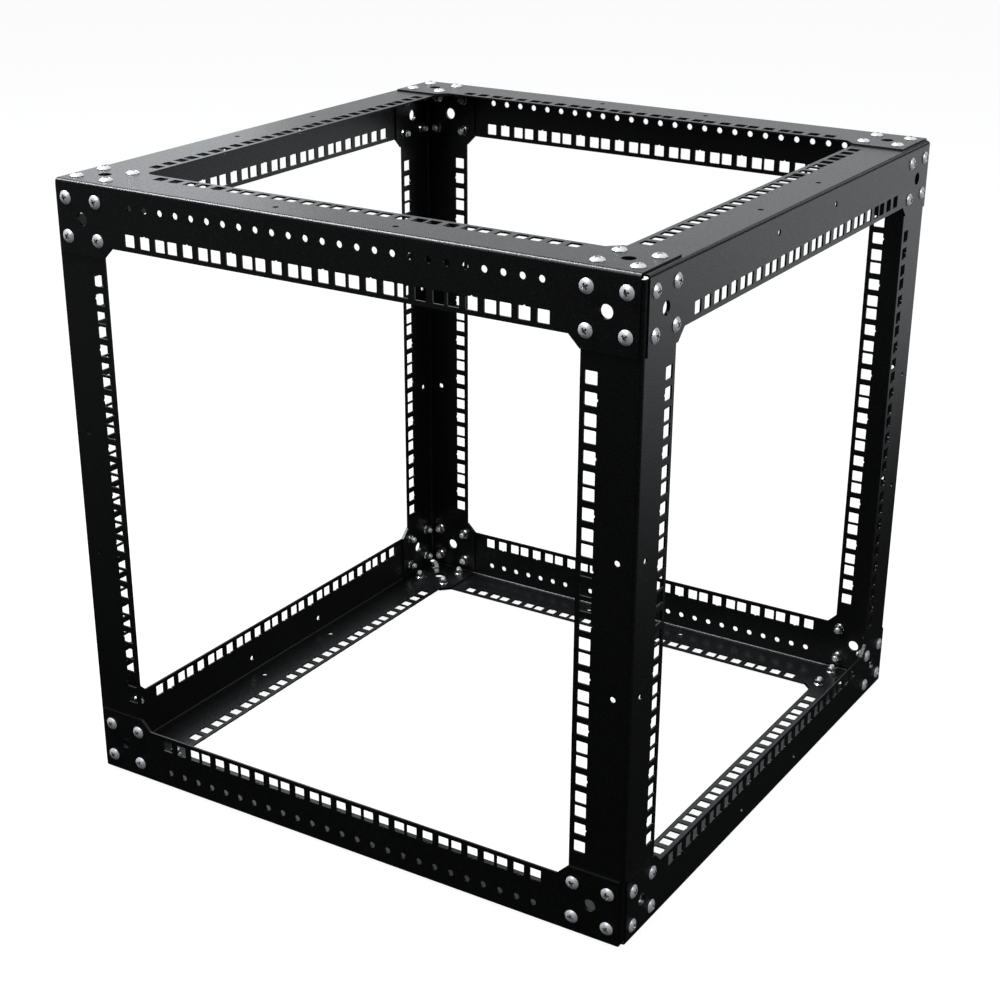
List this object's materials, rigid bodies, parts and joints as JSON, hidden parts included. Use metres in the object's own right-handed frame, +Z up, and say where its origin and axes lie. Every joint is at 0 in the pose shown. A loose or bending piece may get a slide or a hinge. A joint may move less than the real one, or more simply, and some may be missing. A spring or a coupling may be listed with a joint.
{
  "type": "open equipment rack frame",
  "caption": "Open cube frame of folded steel rails with square rack holes, bolted at the corners with cross recess screws and flanged nuts.",
  "frame": {"origin": "middle of the footprint, level with the lowest screw heads that the frame stands on", "axes": "+Z up, front faces -Y, +X to the right seen from the front"},
  "size_m": [0.555, 0.555, 0.555],
  "materials": {
    "powder_coat": "fine textured satin powder coat",
    "zinc_screws": "bright zinc plate",
    "zinc_nuts": "bright zinc plate"
  },
  "bodies": {
    "root": {"nuts_back_bottom_left": "zinc_nuts", "nuts_back_bottom_right": "zinc_nuts", "nuts_back_top_left": "zinc_nuts", "nuts_back_top_right": "zinc_nuts", "nuts_bottom_back_left": "zinc_nuts", "nuts_bottom_back_right": "zinc_nuts", "nuts_bottom_front_left": "zinc_nuts", "nuts_bottom_front_right": "zinc_nuts", "nuts_front_bottom_left": "zinc_nuts", "nuts_front_bottom_right": "zinc_nuts", "nuts_front_top_left": "zinc_nuts", "nuts_front_top_right": "zinc_nuts", "nuts_left_bottom_back": "zinc_nuts", "nuts_left_bottom_front": "zinc_nuts", "nuts_left_top_back": "zinc_nuts", "nuts_left_top_front": "zinc_nuts", "nuts_right_bottom_back": "zinc_nuts", "nuts_right_bottom_front": "zinc_nuts", "nuts_right_top_back": "zinc_nuts", "nuts_right_top_front": "zinc_nuts", "nuts_top_back_left": "zinc_nuts", "nuts_top_back_right": "zinc_nuts", "nuts_top_front_left": "zinc_nuts", "nuts_top_front_right": "zinc_nuts", "post_back_left": "powder_coat", "post_back_right": "powder_coat", "post_front_left": "powder_coat", "post_front_right": "powder_coat", "rail_back_bottom": "powder_coat", "rail_back_top": "powder_coat", "rail_front_bottom": "powder_coat", "rail_front_top": "powder_coat", "rail_left_bottom": "powder_coat", "rail_left_top": "powder_coat", "rail_right_bottom": "powder_coat", "rail_right_top": "powder_coat", "screws_back_bottom_left": "zinc_screws", "screws_back_bottom_right": "zinc_screws", "screws_back_top_left": "zinc_screws", "screws_back_top_right": "zinc_screws", "screws_bottom_back_left": "zinc_screws", "screws_bottom_back_right": "zinc_screws", "screws_bottom_front_left": "zinc_screws", "screws_bottom_front_right": "zinc_screws", "screws_front_bottom_left": "zinc_screws", "screws_front_bottom_right": "zinc_screws", "screws_front_top_left": "zinc_screws", "screws_front_top_right": "zinc_screws", "screws_left_bottom_back": "zinc_screws", "screws_left_bottom_front": "zinc_screws", "screws_left_top_back": "zinc_screws", "screws_left_top_front": "zinc_screws", "screws_right_bottom_back": "zinc_screws", "screws_right_bottom_front": "zinc_screws", "screws_right_top_back": "zinc_screws", "screws_right_top_front": "zinc_screws", "screws_top_back_left": "zinc_screws", "screws_top_back_right": "zinc_screws", "screws_top_front_left": "zinc_screws", "screws_top_front_right": "zinc_screws"}
  },
  "joints": []
}
